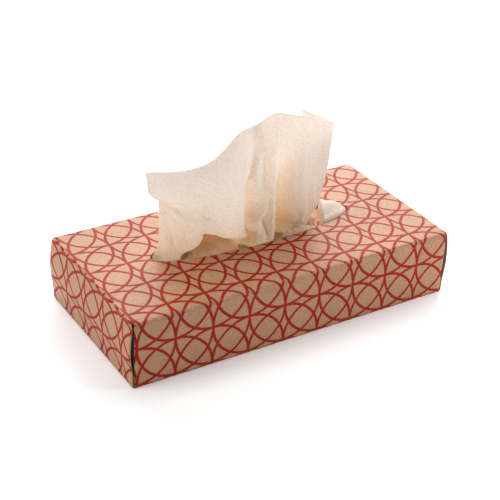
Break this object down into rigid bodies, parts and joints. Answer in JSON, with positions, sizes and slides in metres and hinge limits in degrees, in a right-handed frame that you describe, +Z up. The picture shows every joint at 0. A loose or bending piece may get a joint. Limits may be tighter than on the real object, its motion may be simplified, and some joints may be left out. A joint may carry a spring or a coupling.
{
  "type": "tissue box",
  "caption": "Flat oblong board carton of facial tissues with an oval slot in its top and one soft sheet standing in the slot.",
  "frame": {"origin": "middle of the base, on the surface the box stands on", "axes": "+X along the box's long side, +Y from the front panel to the back panel, +Z up through the slot"},
  "size_m": [0.233, 0.114, 0.1322],
  "materials": {
    "printed_kraft_board": "matte",
    "tissue_paper": "matte"
  },
  "bodies": {
    "root": {"carton": "printed_kraft_board", "tissue_stack": "tissue_paper", "pulled_tissue": "tissue_paper", "next_tissue": "tissue_paper"}
  },
  "joints": []
}
